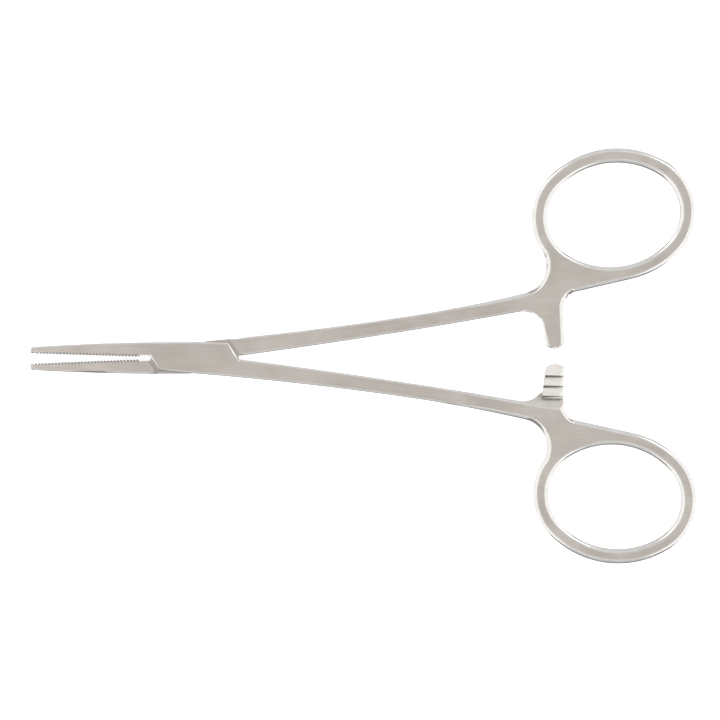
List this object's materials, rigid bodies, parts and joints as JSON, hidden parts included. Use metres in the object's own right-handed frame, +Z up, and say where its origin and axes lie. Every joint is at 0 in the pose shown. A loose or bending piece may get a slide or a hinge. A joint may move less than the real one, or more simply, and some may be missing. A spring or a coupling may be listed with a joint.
{
  "type": "haemostatic forceps",
  "caption": "Straight locking haemostatic forceps: serrated jaws, arms crossing in a box lock on a hinge pin, finger rings and ratchet bars.",
  "frame": {"origin": "on the pivot axis, in the plane of the box's underside, which is the face it lies on", "axes": "+X along the instrument from the pivot towards the finger rings (jaws at -X), +Z up along the pivot axis"},
  "size_m": [0.124, 0.0772, 0.0036],
  "materials": {
    "steel": "satin stainless steel with polished edges"
  },
  "bodies": {
    "box_side": {"box_half": "steel", "hinge_pin": "steel"},
    "tongue_side": {"tongue_half": "steel"}
  },
  "joints": [
    {"name": "box_lock_pivot", "type": "hinge", "parent": "box_side", "child": "tongue_side", "pos_m": [0, 0, 0], "axis": [0, 0, 1], "range_deg": [-3.6, 56.4]}
  ]
}
